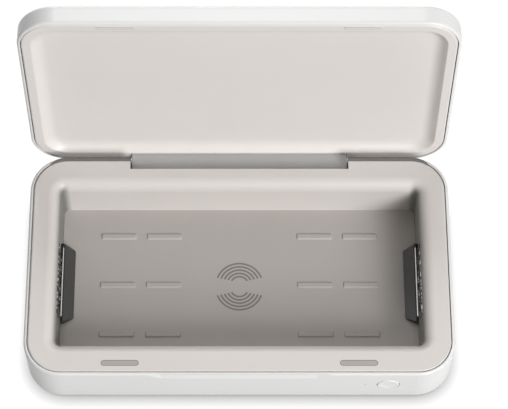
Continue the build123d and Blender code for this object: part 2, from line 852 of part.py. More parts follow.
with BuildPart() as lamp_driver_board:
    with BuildSketch(Plane.XY.offset(back_board_z)):
        with Locations((driver_x, back_board_y)):
            Rectangle(driver_board_length, back_board_depth)
    extrude(amount=board_thickness)
    with BuildSketch(Plane.XY.offset(board_top_z)):
        with Locations((driver_x + transformer_shift, back_board_y)):
            Rectangle(transformer_length, transformer_side)
    extrude(amount=transformer_height)
    with BuildSketch(Plane.XY.offset(board_top_z)):
        with Locations((driver_x + capacitor_shift, back_board_y)):
            Circle(capacitor_diameter / 2)
    extrude(amount=capacitor_height)

lamp_driver_board.part.label = "lamp_driver_board"
export_step(lamp_driver_board.part, "parts/lamp_driver_board.step")

# ------------------------------------------------------------------ hinge pins
with BuildPart() as hinge_pins:
    with BuildSketch(Plane.YZ.offset(notch_half + pocket_end_wall)):
        with Locations((hinge_y, hinge_z)):
            Circle(pin_diameter / 2)
    extrude(amount=-(notch_half + pocket_end_wall - hinge_length / 2 + pin_grip))
    mirror(about=Plane.YZ)

hinge_pins.part.label = "hinge_pins"
export_step(hinge_pins.part, "parts/hinge_pins.step")

# ------------------------------------------------------------------ lid shell
# White moulded cover with a notch for the hinge block, bosses for its screws and tubes that
# take the pegs of the liner.
with BuildPart() as lid_shell:
    with BuildSketch(Plane.XY.offset(lid_z)):
        outline(0)
    extrude(amount=lid_height)
    fillet(lid_shell.faces().sort_by(Axis.Z)[-1].edges(), lid_top_round)
    with BuildSketch(Plane.XY.offset(lid_z)):
        outline(shell_wall)
    extrude(amount=lid_height - lid_top_wall, mode=Mode.SUBTRACT)
    ceiling = lid_shell.faces().filter_by(Axis.Z).sort_by(Axis.Z)[1]
    fillet(ceiling.edges(), lid_top_round - shell_wall)
    fillet(lid_shell.faces().sort_by(Axis.Z)[0].outer_wire().edges(), rim_round)
    with BuildSketch(Plane.XY.offset(lid_z)):
        with Locations((0, half_depth - shell_wall)):
            Rectangle(2 * notch_half, shell_wall, align=FROM_MIDDLE)
    extrude(amount=hinge_notch_rise, mode=Mode.SUBTRACT)
    with BuildSketch(Plane.XY.offset(pan_z)):
        with GridLocations(2 * peg_x, 2 * peg_y, 2, 2):
            Circle(peg_diameter / 2 + peg_tube_wall)
            Circle(peg_diameter / 2, mode=Mode.SUBTRACT)
    extrude(amount=ceiling_z - pan_z)
    with BuildSketch(Plane.XY.offset(arm_top)):
        with Locations(*[(screw_x, hinge_screw_y) for screw_x in hinge_screw_columns]):
            Circle(hinge_boss_diameter / 2)
    extrude(amount=ceiling_z - arm_top)
    with BuildSketch(Plane.XY.offset(arm_top)):
        with Locations(*[(screw_x, hinge_screw_y) for screw_x in hinge_screw_columns]):
            Circle(hinge_screw_diameter / 2)
    extrude(amount=hinge_screw_bite, mode=Mode.SUBTRACT)

export_step(swing_open(lid_shell.part, "lid_shell"), "parts/lid_shell.step")

# ------------------------------------------------------------------ lid liner
# Warm grey moulding: a flat strip that faces the base rim, round a shallow soft-edged dish.
with BuildPart() as lid_liner:
    with BuildSketch(Plane.XY.offset(lid_z)):
        outline(liner_inset)
    extrude(amount=lid_sheet)
    fillet(lid_liner.faces().sort_by(Axis.Z)[0].edges(), liner_round)
    with BuildSketch(Plane.XY.offset(lid_z + lid_sheet)):
        outline(liner_inset + dish_strip + lid_sheet - dish_wall)
    extrude(amount=dish_depth, taper=dish_slope)
    with BuildSketch(Plane.XY.offset(lid_z)):
        outline(liner_inset + dish_strip)
    extrude(amount=dish_depth, taper=dish_slope, mode=Mode.SUBTRACT)
    dish_face = lid_liner.faces().filter_by(Axis.Z).sort_by(Axis.Z)[2]
    fillet(dish_face.edges(), dish_round)
    strip_face = lid_liner.faces().sort_by(Axis.Z)[0]
    fillet(strip_face.inner_wires()[0].edges(), dish_edge_round)
    with BuildSketch(Plane.XY.offset(lid_z)):
        with Locations((0, hinge_front - hinge_seat_play)):
            Rectangle(2 * notch_half, half_depth, align=FROM_MIDDLE)
    extrude(amount=lid_sheet, mode=Mode.SUBTRACT)
    with BuildSketch(Plane.XY.offset(lid_z)):
        with Locations((-pad_x, bumper_y), (pad_x, bumper_y)):
            SlotOverall(bumper_length, bumper_width)
    extrude(amount=bumper_seat, mode=Mode.SUBTRACT)
    with BuildSketch(Plane.XY.offset(pan_z)):
        with GridLocations(2 * peg_x, 2 * peg_y, 2, 2):
            Circle(peg_diameter / 2)
    extrude(amount=peg_height)

export_step(swing_open(lid_liner.part, "lid_liner"), "parts/lid_liner.step")

# ------------------------------------------------------------------ small pieces of the lid
with BuildPart() as lid_bumpers:
    with BuildSketch(Plane.XY.offset(lid_z + bumper_seat)):
        with Locations((-pad_x, bumper_y), (pad_x, bumper_y)):
            SlotOverall(bumper_length, bumper_width)
    extrude(amount=-(bumper_seat + bumper_stand))

export_step(swing_open(lid_bumpers.part, "lid_bumpers"), "parts/lid_bumpers.step")

with BuildPart() as lid_magnets:
    with BuildSketch(Plane.XY.offset(lid_z + lid_sheet)):
        with Locations((-pad_x, bumper_y), (pad_x, bumper_y)):
            Rectangle(magnet_length, magnet_width)
    extrude(amount=magnet_thickness)

export_step(swing_open(lid_magnets.part, "lid_magnets"), "parts/lid_magnets.step")

with BuildPart() as sensor_magnet:
    with BuildSketch(Plane.XY.offset(lid_z + lid_sheet)):
        with Locations((sensor_x, bumper_y)):
            Circle(sensor_magnet_diameter / 2)
    extrude(amount=sensor_magnet_height)

export_step(swing_open(sensor_magnet.part, "sensor_magnet"), "parts/sensor_magnet.step")

# ------------------------------------------------------------------ hinge block and screws
# Grey block the whole width of the notch: a barrel round the pins, a plate up into the lid and
# an arm that is screwed down on the bosses of the lid shell.
plate_back = half_depth - shell_wall - hinge_seat_play
step_z = lid_z + hinge_notch_rise - hinge_seat_play

with BuildPart() as hinge_block:
    with BuildSketch(Plane.YZ.offset(-hinge_length / 2)):
        with Locations((hinge_y, hinge_z)):
            Circle(hinge_barrel / 2)
        with Locations((hinge_front, hinge_z)):
            Rectangle(hinge_back - hinge_front, step_z - hinge_z, align=(Align.MIN, Align.MIN))
        with Locations((hinge_front, step_z)):
            Rectangle(plate_back - hinge_front, arm_top - step_z, align=(Align.MIN, Align.MIN))
        with Locations((arm_y, arm_z)):
            Rectangle(hinge_front - arm_y, hinge_arm, align=(Align.MIN, Align.MIN))
    extrude(amount=hinge_length)
    with BuildSketch(Plane.XY.offset(arm_z)):
        with Locations(*[(screw_x, hinge_screw_y) for screw_x in hinge_screw_columns]):
            Circle(hinge_screw_diameter / 2 + hinge_screw_play)
    extrude(amount=hinge_arm, mode=Mode.SUBTRACT)
    with BuildSketch(Plane.YZ.offset(hinge_length / 2)):
        with Locations((hinge_y, hinge_z)):
            Circle(pin_diameter / 2 + pin_clearance)
    extrude(amount=-(pin_grip + pin_end_room), mode=Mode.SUBTRACT)
    with BuildSketch(Plane.YZ.offset(-hinge_length / 2)):
        with Locations((hinge_y, hinge_z)):
            Circle(pin_diameter / 2 + pin_clearance)
    extrude(amount=pin_grip + pin_end_room, mode=Mode.SUBTRACT)

export_step(swing_open(hinge_block.part, "hinge_block"), "parts/hinge_block.step")

with BuildPart() as hinge_screws:
    with BuildSketch(Plane.XY.offset(arm_z)):
        with Locations(*[(screw_x, hinge_screw_y) for screw_x in hinge_screw_columns]):
            Circle(hinge_screw_head / 2)
    extrude(amount=-hinge_screw_head_height)
    with BuildSketch(Plane.XY.offset(arm_z)):
        with Locations(*[(screw_x, hinge_screw_y) for screw_x in hinge_screw_columns]):
            Circle(hinge_screw_diameter / 2)
    extrude(amount=hinge_arm + hinge_screw_bite)

export_step(swing_open(hinge_screws.part, "hinge_screws"), "parts/hinge_screws.step")
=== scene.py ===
from math import asin, cos, pi, radians, sin, sqrt
from random import Random

import bmesh
import bpy
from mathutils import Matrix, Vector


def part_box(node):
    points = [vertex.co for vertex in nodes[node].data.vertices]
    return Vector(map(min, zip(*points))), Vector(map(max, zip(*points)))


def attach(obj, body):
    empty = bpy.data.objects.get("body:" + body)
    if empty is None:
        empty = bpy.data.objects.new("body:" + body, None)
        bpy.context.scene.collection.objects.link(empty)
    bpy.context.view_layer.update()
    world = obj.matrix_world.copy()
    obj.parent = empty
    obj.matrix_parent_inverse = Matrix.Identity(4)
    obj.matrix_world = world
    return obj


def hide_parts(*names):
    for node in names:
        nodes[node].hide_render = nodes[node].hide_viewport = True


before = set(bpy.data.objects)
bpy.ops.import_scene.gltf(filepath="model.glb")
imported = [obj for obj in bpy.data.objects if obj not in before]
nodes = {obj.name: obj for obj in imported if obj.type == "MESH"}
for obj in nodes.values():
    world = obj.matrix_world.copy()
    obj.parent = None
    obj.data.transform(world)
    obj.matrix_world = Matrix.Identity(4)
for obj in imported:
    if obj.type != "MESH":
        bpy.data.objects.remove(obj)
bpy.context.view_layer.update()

# --------------------------------------------------------------------------- base shell
# The outer tray is injection-moulded white ABS. Its faces come from a finely eroded steel
# mould, so it is satin, not glossy, and a soft light slides along its rounded edges.
shell_white = "#ededec"
shell_white_shade = "#e9e9e8"
shell_roughness = 0.34
mould_grain = 0.0005  # real erosion grain is about 0.1 mm; 0.5 mm is the least that shows
mould_grain_depth = 0.0000025


def to_linear(hex_colour):
    """An sRGB hex colour as linear red, green, blue and alpha."""
    levels = [int(hex_colour[place : place + 2], 16) / 255 for place in (1, 3, 5)]
    linear = [v / 12.92 if v <= 0.04045 else ((v + 0.055) / 1.055) ** 2.4 for v in levels]
    return linear + [1.0]


def add_node(tree, kind, settings=None, links=None):
    """Adds a node, sets its properties or sockets, and links its sockets."""
    node = tree.nodes.new(kind)
    for name, value in (settings or {}).items():
        if isinstance(name, str) and hasattr(node, name):
            setattr(node, name, value)
        else:
            node.inputs[name].default_value = value
    for name, source in (links or {}).items():
        tree.links.new(source, node.inputs[name])
    return node


def new_material(name):
    """An empty material and its node tree."""
    material = bpy.data.materials.new(name)
    material.use_nodes = True
    material.node_tree.nodes.clear()
    return material, material.node_tree


def moulded_plastic(name, pale, shade, roughness, grain, depth, ior=1.54):
    """Plastic from an eroded mould: a faint cloud in its colour, and a grained gloss."""
    material, tree = new_material(name)
    place = add_node(tree, "ShaderNodeTexCoord").outputs["Object"]
    cloud = add_node(tree, "ShaderNodeTexNoise", {"Scale": 28.0, "Detail": 3.0}, {"Vector": place})
    colour = add_node(
        tree,
        "ShaderNodeMix",
        {"data_type": "RGBA", 6: to_linear(pale), 7: to_linear(shade)},
        {0: cloud.outputs["Fac"]},
    )
    fine = add_node(
        tree, "ShaderNodeTexNoise", {"Scale": 1 / grain, "Detail": 2.0}, {"Vector": place}
    )
    gloss = add_node(
        tree,
        "ShaderNodeMapRange",
        {"From Min": 0.3, "From Max": 0.7, "To Min": roughness - 0.04, "To Max": roughness + 0.04},
        {"Value": fine.outputs["Fac"]},
    )
    bump = add_node(
        tree,
        "ShaderNodeBump",
        {"Strength": 1.0, "Distance": depth},
        {"Height": fine.outputs["Fac"]},
    )
    plastic = add_node(
        tree,
        "ShaderNodeBsdfPrincipled",
        {"IOR": ior},
        {
            "Base Color": colour.outputs[2],
            "Roughness": gloss.outputs["Result"],
            "Normal": bump.outputs["Normal"],
        },
    )
    add_node(tree, "ShaderNodeOutputMaterial", None, {"Surface": plastic.outputs["BSDF"]})
    return material


def dress(material, *names):
    """Gives CAD nodes their finish."""
    for name in names:
        mesh = nodes[name].data
        mesh.materials.clear()
        mesh.materials.append(material)


shell_abs = moulded_plastic(
    "white ABS, eroded mould",
    shell_white,
    shell_white_shade,
    shell_roughness,
    mould_grain,
    mould_grain_depth,
)
dress(shell_abs, "base_shell")

# --------------------------------------------------------------------------- ferrite and coil
# Under the middle of the floor lie a sheet of sintered ferrite, matt and almost black, and on
# it a flat coil of enamelled copper wire, whose turns show as fine bright rings. The copper is
# painted paler on the crest of each turn and darker between turns: painted highlight and shade.
ferrite_black = "#2b2b2d"
ferrite_edge = "#38383a"
copper_crest_highlight = "#c8814f"
copper_gap_shade = "#8d4a26"
wire_pitch = 0.0012

ferrite = moulded_plastic(
    "ferrite, sintered sheet", ferrite_black, ferrite_edge, 0.75, 0.0004, 0.000004, 1.9
)
dress(ferrite, "ferrite_sheet")

coil_copper, tree = new_material("copper, enamelled wire")
place = add_node(tree, "ShaderNodeTexCoord").outputs["Object"]
turns = add_node(
    tree,
    "ShaderNodeTexWave",
    {
        "wave_type": "RINGS",
        "rings_direction": "Z",
        "wave_profile": "SIN",
        "Scale": 2 * pi / (20 * wire_pitch),
    },
    {"Vector": place},
)
# Painted highlight and shade: paler copper on each turn's crest, darker in the gaps.
painted_wire_shading = add_node(
    tree,
    "ShaderNodeMix",
    {"data_type": "RGBA", 6: to_linear(copper_gap_shade), 7: to_linear(copper_crest_highlight)},
    {0: turns.outputs["Fac"]},
)
wire_bump = add_node(
    tree, "ShaderNodeBump", {"Distance": 0.0003}, {"Height": turns.outputs["Fac"]}
)
wire = add_node(
    tree,
    "ShaderNodeBsdfPrincipled",
    {"Metallic": 1.0, "Roughness": 0.28, "Coat Weight": 0.6, "Coat Roughness": 0.15},
    {"Base Color": painted_wire_shading.outputs[2], "Normal": wire_bump.outputs["Normal"]},
)
add_node(tree, "ShaderNodeOutputMaterial", None, {"Surface": wire.outputs["BSDF"]})
dress(coil_copper, "charging_coil")

# --------------------------------------------------------------------------- circuit boards
# The three boards are glass-epoxy laminate under green solder mask; the copper tracks beneath
# show as slightly paler, raised bands.
mask_green = "#1c5a38"
track_green = "#2c7a4e"
track_pitch = 0.0022

board_laminate, tree = new_material("glass epoxy, green solder mask")
place = add_node(tree, "ShaderNodeTexCoord").outputs["Object"]
tracks = add_node(
    tree,
    "ShaderNodeTexBrick",
    {
        "Scale": 1 / track_pitch,
        "Mortar Size": 0.12,
        "Mortar Smooth": 0.3,
        "Brick Width": 3.0,
        "Row Height": 0.9,
        "Color1": to_linear(mask_green),
        "Color2": to_linear("#1f6240"),
        "Mortar": to_linear(track_green),
    },
    {"Vector": place},
)
track_bump = add_node(
    tree, "ShaderNodeBump", {"Distance": 0.00004}, {"Height": tracks.outputs["Fac"]}
)
mask = add_node(
    tree,
    "ShaderNodeBsdfPrincipled",
    {"IOR": 1.55, "Roughness": 0.28},
    {"Base Color": tracks.outputs["Color"], "Normal": track_bump.outputs["Normal"]},
)
add_node(tree, "ShaderNodeOutputMaterial", None, {"Surface": mask.outputs["BSDF"]})
dress(board_laminate, "main_board", "inlet_board", "lamp_driver_board")

# --------------------------------------------------------------------------- parts on the boards
# The switch, its plunger, the lid sensor and the lamp sockets are black moulded nylon and
# epoxy, dull from glass filling. The indicator is a milky white chip.
filled_black = moulded_plastic(
    "glass-filled nylon, moulded", "#1d1d1e", "#27272a", 0.55, 0.0004, 0.000005, 1.53
)
dress(filled_black, "power_switch", "switch_plunger", "lid_sensor")
dress(filled_black, "lamp_sockets_left", "lamp_sockets_right")
chip_white = moulded_plastic(
    "silicone, cast over the chip", "#ecebdd", "#e3e1cf", 0.4, 0.0003, 0.000002, 1.42
)
dress(chip_white, "status_led")

# --------------------------------------------------------------------------- charging inlet
# The socket's shell is drawn from tin-plated steel sheet: bright, with faint drawing marks
# along its depth.
tin_bright = "#c9c9ca"

tinned_steel, tree = new_material("tin-plated steel, drawn")
place = add_node(tree, "ShaderNodeTexCoord").outputs["Object"]
stretched = add_node(
    tree, "ShaderNodeMapping", {"Scale": (4000.0, 250.0, 4000.0)}, {"Vector": place}
)
marks = add_node(
    tree, "ShaderNodeTexNoise", {"Scale": 1.0, "Detail": 2.0}, {"Vector": stretched.outputs[0]}
)
marks_gloss = add_node(
    tree,
    "ShaderNodeMapRange",
    {"To Min": 0.2, "To Max": 0.42},
    {"Value": marks.outputs["Fac"]},
)
tin = add_node(
    tree,
    "ShaderNodeBsdfPrincipled",
    {"Base Color": to_linear(tin_bright), "Metallic": 1.0},
    {"Roughness": marks_gloss.outputs["Result"]},
)
add_node(tree, "ShaderNodeOutputMaterial", None, {"Surface": tin.outputs["BSDF"]})
dress(tinned_steel, "usb_c_socket")

# --------------------------------------------------------------------------- pins and screws
# Hinge pins and screws are carbon steel under bright zinc: pale bluish metal with a slightly
# uneven, grainy shine.
zinc_pale = "#c2c5c9"
zinc_dull = "#a4a8ad"

zinc_steel, tree = new_material("steel, bright zinc plated")
place = add_node(tree, "ShaderNodeTexCoord").outputs["Object"]
spangle = add_node(
    tree, "ShaderNodeTexNoise", {"Scale": 1 / 0.0008, "Detail": 4.0}, {"Vector": place}
)
spangle_colour = add_node(
    tree,
    "ShaderNodeMix",
    {"data_type": "RGBA", 6: to_linear(zinc_dull), 7: to_linear(zinc_pale)},
    {0: spangle.outputs["Fac"]},
)
spangle_gloss = add_node(
    tree,
    "ShaderNodeMapRange",
    {"To Min": 0.22, "To Max": 0.45},
    {"Value": spangle.outputs["Fac"]},
)
zinc = add_node(
    tree,
    "ShaderNodeBsdfPrincipled",
    {"Metallic": 1.0},
    {"Base Color": spangle_colour.outputs[2], "Roughness": spangle_gloss.outputs["Result"]},
)
add_node(tree, "ShaderNodeOutputMaterial", None, {"Surface": zinc.outputs["BSDF"]})
dress(zinc_steel, "hinge_pins", "base_screws", "hinge_screws")

# --------------------------------------------------------------------------- base liner
# Rim, lip and tub walls are one moulding in warm grey ABS. It is a little duller than the
# shell, and its rounded lip carries a soft broad highlight.
liner_grey = "#e0dbd7"
liner_grey_shade = "#dcd7d3"

liner_abs = moulded_plastic(
    "warm grey ABS, eroded mould", liner_grey, liner_grey_shade, 0.42, 0.0006, 0.000003
)
dress(liner_abs, "base_liner")

# The end walls beside the lamps are painted darker from the lip down: painted shade.
end_wall_painted_shade = "#767670"
end_shade_starts = 0.0925  # from the middle of the box, along it
end_shade_full = 0.0968
shade_top = 0.0344  # above the table
shade_full = 0.0292

tree = liner_abs.node_tree
plastic = next(node for node in tree.nodes if node.type == "BSDF_PRINCIPLED")
moulded_colour = plastic.inputs["Base Color"].links[0].from_socket
place = add_node(tree, "ShaderNodeTexCoord").outputs["Object"]
axes = add_node(tree, "ShaderNodeSeparateXYZ", None, {"Vector": place})
along = add_node(
    tree, "ShaderNodeMath", {"operation": "ABSOLUTE"}, {0: axes.outputs["X"]}
)
near_end = add_node(
    tree,
    "ShaderNodeMapRange",
    {"interpolation_type": "SMOOTHSTEP", "From Min": end_shade_starts, "From Max": end_shade_full},
    {"Value": along.outputs[0]},
)
below_lip = add_node(
    tree,
    "ShaderNodeMapRange",
    {"interpolation_type": "SMOOTHSTEP", "From Min": shade_top, "From Max": shade_full},
    {"Value": axes.outputs["Z"]},
)
painted_shade_amount = add_node(
    tree,
    "ShaderNodeMath",
    {"operation": "MULTIPLY"},
    {0: near_end.outputs["Result"], 1: below_lip.outputs["Result"]},
)
# Painted shade: the liner's colour darkens towards each end wall below the lip.
shaded_colour = add_node(
    tree,
    "ShaderNodeMix",
    {"data_type": "RGBA", 7: to_linear(end_wall_painted_shade)},
    {0: painted_shade_amount.outputs[0], 6: moulded_colour},
)
tree.links.new(shaded_colour.outputs[2], plastic.inputs["Base Color"])

# --------------------------------------------------------------------------- rim bead
# A bead of dark grey silicone lies in the groove between the shell and the liner, from one end of
# the hinge notch round the front to the other. It is painted shade: a dark bead standing for the
# shadow in the gap, and it shows as the dark line round the rim.
seam_shade_grey = "#6c6864"
seam_shade_grey_dark = "#65615d"
outline_corner = 0.020  # upright corners of the box
notch_end = 0.0598
seam_shade_section = (  # inside the outline, above the table
    (0.0016, 0.0335),
    (0.0016, 0.0339),
    (0.00213, 0.0339),
    (0.002, 0.0335),
)
corner_steps = 16

shell_low, shell_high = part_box("base_shell")
side_x = shell_high[0]
back_y = shell_high[1]
front_y = shell_low[1]


def rim_corner(middle_x, middle_y, first, last, steps=corner_steps):
    """Points and outward directions round one corner of the outline, in whole steps."""
    turns = [radians(first + (last - first) * step / steps) for step in range(steps + 1)]
    return [
        (
            middle_x + outline_corner * cos(turn),
            middle_y + outline_corner * sin(turn),
            cos(turn),
            sin(turn),
        )
        for turn in turns
    ]


def sweep(mesh, stations):
    """Joins closed sections, one for each station, and closes both ends."""
    loops = [[mesh.verts.new(point) for point in station] for station in stations]
    for near, far in zip(loops, loops[1:]):
        for place in range(len(near)):
            after = (place + 1) % len(near)
            mesh.faces.new((near[place], near[after], far[after], far[place]))
    mesh.faces.new(loops[0])
    mesh.faces.new(loops[-1])


def add_piece(name, mesh, material, body, smooth_below=None):
    """Turns a bmesh into a piece that rides on a body."""
    bmesh.ops.recalc_face_normals(mesh, faces=mesh.faces)
    data = bpy.data.meshes.new(name)
    mesh.to_mesh(data)
    data.materials.append(material)
    if smooth_below is not None:
        data.shade_smooth()
        data.set_sharp_from_angle(angle=radians(smooth_below))
    piece = bpy.data.objects.new(name, data)
    bpy.context.scene.collection.objects.link(piece)
    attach(piece, body)
    return piece


inner_x = side_x - outline_corner
inner_back = back_y - outline_corner
inner_front = front_y + outline_corner
seam_shade_path = [(notch_end, back_y, 0, 1)]
seam_shade_path += rim_corner(inner_x, inner_back, 90, 0)
seam_shade_path += rim_corner(inner_x, inner_front, 0, -90)
seam_shade_path += rim_corner(-inner_x, inner_front, -90, -180)
seam_shade_path += rim_corner(-inner_x, inner_back, 180, 90)
seam_shade_path += [(-notch_end, back_y, 0, 1)]
seam_shade_mesh = bmesh.new()
sweep(
    seam_shade_mesh,
    [
        [(x - inset * out_x, y - inset * out_y, height) for inset, height in seam_shade_section]
        for x, y, out_x, out_y in seam_shade_path
    ],
)
seam_shade_plastic = moulded_plastic(
    "dark grey silicone, painted seam shade", seam_shade_grey, seam_shade_grey_dark, 0.6, 0.0004, 0.000002, 1.41
)
add_piece("rim_seam_shade", seam_shade_mesh, seam_shade_plastic, "base")

# --------------------------------------------------------------------------- back rim shade strips
# Two strips of darker silicone lie on the back rim, one on each side of the hinge: painted
# shade, standing for the shadow where the open lid meets the rim. Each thins out to the bead
# round its corner.
back_rim_shade_grey = "#7a7774"
back_rim_shade_grey_dark = "#73706d"
shade_strip_thickness = 0.0001
shell_round = 0.0013
rim_top = 0.0344
shade_strip_outer_insets = (0.0015, 0.0011, 0.0007, 0.00035, 0.0001, 0.0)
shade_strip_full_until = 88  # degrees of the corner, counted from straight out to the side
shade_strip_last = 58

back_rim_shade_plastic = moulded_plastic(
    "grey silicone, painted back rim shade", back_rim_shade_grey, back_rim_shade_grey_dark, 0.55, 0.0004, 0.000002, 1.41
)
for side, end in ((-1, "left"), (1, "right")):
    shade_strip_path = [(side * notch_end, back_y, 0.0, 1.0, 1.0)]
    for x, y, out_x, out_y in rim_corner(inner_x, inner_back, 90, shade_strip_last, 24):
        full = sin(radians(shade_strip_full_until))
        thin = sin(radians(shade_strip_last))
        width = min(1.0, max(0.0, (out_y - thin) / (full - thin)))
        shade_strip_path.append((side * x, y, side * out_x, out_y, width))
    stations = []
    for x, y, out_x, out_y, width in shade_strip_path:
        section = [(0.0021, 0.03396), (0.0019, 0.03445)]
        for inset in shade_strip_outer_insets:
            reach = 0.0016 + (inset - 0.0016) * width
            drop = shell_round - min(reach, shell_round)
            height = rim_top - shell_round + sqrt(shell_round**2 - drop**2)
            section.append((reach - shade_strip_thickness * width * (reach < 0.0008), height + shade_strip_thickness))
        section.append((section[-1][0] + 0.0003, section[-1][1] - 0.0005))
        section.append((0.0018, 0.0336))
        stations.append([(x - inset * out_x, y - inset * out_y, z) for inset, z in section])
    shade_strip_mesh = bmesh.new()
    sweep(shade_strip_mesh, stations)
    add_piece(f"back_rim_shade_{end}", shade_strip_mesh, back_rim_shade_plastic, "base")

# --------------------------------------------------------------------------- hinge end pads
# A thin pad of dark nylon sheet lines each end of the hinge notch. It is painted shade: from
# above it closes the notch with a dark edge, standing for the shadow in the gap.
notch_shade_thickness = 0.0003
end_pad_front = 0.0569
end_pad_back = 0.0638
end_pad_low = 0.0236
end_pad_high = 0.03425
end_pad_round = 0.0006

notch_shade_sheet = moulded_plastic(
    "dark nylon sheet, painted notch shade", "#4c4b49", "#454442", 0.5, 0.0004, 0.000003, 1.53
)
for side, end in ((-1, "left"), (1, "right")):
    profile = []
    for corner_y, corner_z, way_y, way_z, first in (
        (end_pad_back, end_pad_high, -1, -1, 0),
        (end_pad_front, end_pad_high, 1, -1, 90),
        (end_pad_front, end_pad_low, 1, 1, 180),
        (end_pad_back, end_pad_low, -1, 1, 270),
    ):
        for step in range(5):
            turn = radians(first + 90 * step / 4)
            profile.append(
                (
                    corner_y + end_pad_round * (way_y + cos(turn)),
                    corner_z + end_pad_round * (way_z + sin(turn)),
                )
            )
    pad_mesh = bmesh.new()
    sweep(
        pad_mesh,
        [
            [(side * reach, y, z) for y, z in profile]
            for reach in (notch_end - notch_shade_thickness, notch_end)
        ],
    )
    add_piece(f"hinge_notch_shade_{end}", pad_mesh, notch_shade_sheet, "base")

# A plate of the same sheet lies against each end of the block, painted shade in the gap there too. The
# lid stands open here.
block_end = 0.0592
block_plate_thickness = 0.00025
block_plate_profile = (  # along Y and Z with the lid shut
    (0.0583, 0.0275),
    (0.0634, 0.0275),
    (0.0634, 0.0396),
    (0.0583, 0.0396),
)
hinge_y = 0.0605
hinge_z = 0.0263
lid_open = radians(95.5)

for side, end in ((-1, "left"), (1, "right")):
    swung = [
        (
            hinge_y + (y - hinge_y) * cos(lid_open) + (z - hinge_z) * sin(lid_open),
            hinge_z - (y - hinge_y) * sin(lid_open) + (z - hinge_z) * cos(lid_open),
        )
        for y, z in block_plate_profile
    ]
    pad_mesh = bmesh.new()
    sweep(
        pad_mesh,
        [
            [(side * reach, y, z) for y, z in swung]
            for reach in (block_end, block_end + block_plate_thickness)
        ],
    )
    add_piece(f"block_end_shade_{end}", pad_mesh, notch_shade_sheet, "lid")

# --------------------------------------------------------------------------- magnet pads
# Two strips of darker grey plastic fill slots in the front rim over the magnets, which are
# nickel-plated blocks glued below.
pad_plastic = moulded_plastic(
    "grey ABS, fine mould", "#b5afaa", "#aea8a3", 0.5, 0.0005, 0.000003
)
dress(pad_plastic, "rim_pads")

# A narrow darker ring closes the slot round each pad: painted shade, standing for the shadow in the
# gap.
slot_x = 0.0628
slot_y = front_y + 0.0069
slot_half_length = 0.010
slot_half_width = 0.0016
gap_ring_width = 0.0003
gap_ring_base = 0.0342
gap_ring_top = 0.03433
gap_ring_steps = 10

pad_gap_shade = moulded_plastic("dark ring, painted gap shade", "#716c67", "#6b6661", 0.45, 0.0004, 0.000002, 1.5)
gap_ring_mesh = bmesh.new()
for middle_x in (-slot_x, slot_x):
    rings = []
    for inset, height in (
        (0.0, gap_ring_base),
        (0.0, gap_ring_top),
        (gap_ring_width, gap_ring_top),
        (gap_ring_width, gap_ring_base),
    ):
        ring = []
        for way, first in ((1, -90), (-1, 90)):
            for step in range(gap_ring_steps + 1):
                turn = radians(first + 180 * step / gap_ring_steps)
                ring.append(
                    gap_ring_mesh.verts.new(
                        (
                            middle_x
                            + way * (slot_half_length - slot_half_width)
                            + (slot_half_width - inset) * cos(turn),
                            slot_y + (slot_half_width - inset) * sin(turn),
                            height,
                        )
                    )
                )
        rings.append(ring)
    for near, far in zip(rings, rings[1:] + rings[:1]):
        for place in range(len(near)):
            after = (place + 1) % len(near)
            gap_ring_mesh.faces.new((near[place], near[after], far[after], far[place]))
add_piece("pad_gap_ring", gap_ring_mesh, pad_gap_shade, "base")

nickel, tree = new_material("neodymium magnet, nickel plated")
place = add_node(tree, "ShaderNodeTexCoord").outputs["Object"]
plating = add_node(
    tree, "ShaderNodeTexNoise", {"Scale": 1 / 0.0006, "Detail": 3.0}, {"Vector": place}
)
plating_gloss = add_node(
    tree,
    "ShaderNodeMapRange",
    {"To Min": 0.12, "To Max": 0.3},
    {"Value": plating.outputs["Fac"]},
)
nickel_shader = add_node(
    tree,
    "ShaderNodeBsdfPrincipled",
    {"Base Color": to_linear("#c6c2ba"), "Metallic": 1.0},
    {"Roughness": plating_gloss.outputs["Result"]},
)
add_node(tree, "ShaderNodeOutputMaterial", None, {"Surface": nickel_shader.outputs["BSDF"]})
dress(nickel, "rim_magnets", "lid_magnets", "sensor_magnet")

# --------------------------------------------------------------------------- charging floor
# The floor is a separate panel of darker warm grey polycarbonate with a matt spark-eroded face
# and twelve low rests that keep the phone off it.
floor_grey = "#bab5b1"
floor_grey_shade = "#b6b1ad"

floor_plastic = moulded_plastic(
    "warm grey polycarbonate, matt mould", floor_grey, floor_grey_shade, 0.5, 0.0006, 0.000004, 1.58
)
dress(floor_plastic, "charging_floor")

# --------------------------------------------------------------------------- rest bars
# Over each of the twelve rests stands a low bar with sloping flanks, moulded with the floor, on
# which the phone lies. The flank towards the front catches the light as a fine pale line.
bar_columns = (-0.0667, -0.0415, 0.0415, 0.0667)
bar_rows = (-0.0292, 0.0, 0.0292)
bar_half_length = 0.00975
bar_half_width = 0.0019
bar_height = 0.0008
bar_flank = 0.0008  # how far the long flanks slope in
bar_end_flank = 0.0005
bar_corner = 0.0005
bar_sunk = 0.0001  # its foot lies a little below the face of the floor
bar_corner_steps = 4

